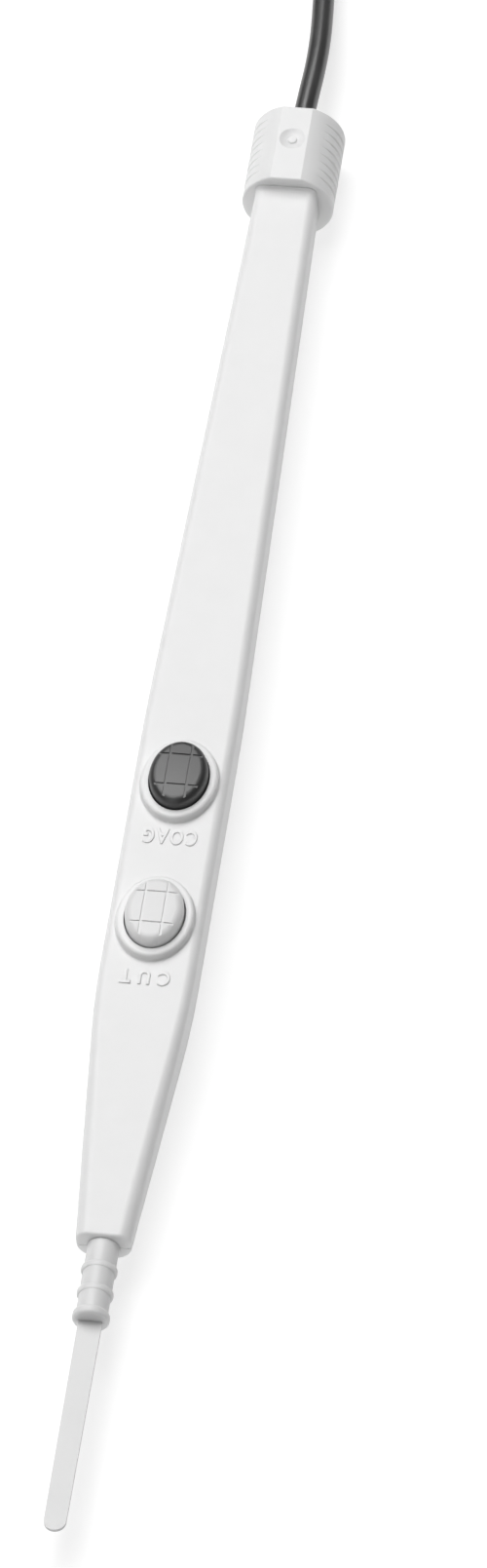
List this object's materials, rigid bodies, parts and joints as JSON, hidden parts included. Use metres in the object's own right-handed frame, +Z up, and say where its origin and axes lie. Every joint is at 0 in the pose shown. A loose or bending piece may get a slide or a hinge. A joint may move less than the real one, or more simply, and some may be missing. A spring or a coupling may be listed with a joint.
{
  "type": "electrosurgical pencil",
  "caption": "Slim hand-held electrosurgical pencil with a blade electrode, a cut and a coag push button, an end cap and a corded pin plug.",
  "frame": {"origin": "on the floor under the middle of the pencil, measured from the blade's tip to the end cap's tail, without the cord", "axes": "+Z up, out of the buttons; the pencil lies along Y with its blade towards -Y and its end cap towards +Y"},
  "size_m": [0.0475, 0.3158, 0.0235],
  "materials": {
    "white_plastic": "satin moulded white, slightly mottled",
    "white_button": "satin moulded white",
    "grey_button": "satin moulded dark grey",
    "sleeve_plastic": "satin moulded white",
    "steel": "bright rolled stainless",
    "dome_steel": "bright sprung sheet",
    "brass": "bright",
    "board": "solder-masked glass laminate",
    "wire_white": "thin insulation",
    "wire_yellow": "thin insulation",
    "wire_blue": "thin insulation",
    "ferrule": "crimped",
    "cord_jacket": "matt soft jacket",
    "tie": "soft band",
    "plug_plastic": "fine moulded texture",
    "nickel": "nickel plate"
  },
  "bodies": {
    "handle": {"upper_shell": "white_plastic", "lower_shell": "white_plastic", "end_cap": "white_plastic", "cut_dome": "dome_steel", "coag_dome": "dome_steel", "switch_board": "board", "electrode_socket": "brass", "active_strap": "brass", "active_wire": "wire_white", "cut_wire": "wire_yellow", "coag_wire": "wire_blue", "cord_end": "cord_jacket", "cord_ferrule": "ferrule", "cord_lead": "cord_jacket", "cord_hank": "cord_jacket", "cord_tail": "cord_jacket", "hank_tie": "tie", "plug_body": "plug_plastic", "plug_strain_relief": "plug_plastic", "plug_cut_pin": "nickel", "plug_coag_pin": "nickel", "plug_active_pin": "nickel"},
    "cut_button": {"cut_button": "white_button"},
    "coag_button": {"coag_button": "grey_button"},
    "electrode": {"electrode_blade": "steel", "electrode_sleeve": "sleeve_plastic"}
  },
  "joints": [
    {"name": "cut_press", "type": "slide", "parent": "handle", "child": "cut_button", "axis": [0, 0, -1], "range_m": [0, 0.0007], "stiffness_N_per_m": 2500, "springref_m": -0.0003, "deforming": ["cut_dome"]},
    {"name": "coag_press", "type": "slide", "parent": "handle", "child": "coag_button", "axis": [0, 0, -1], "range_m": [0, 0.0007], "stiffness_N_per_m": 2500, "springref_m": -0.0003, "deforming": ["coag_dome"]},
    {"name": "electrode_pull", "type": "slide", "parent": "handle", "child": "electrode", "axis": [0, -1, 0], "range_m": [0, 0.03]}
  ]
}
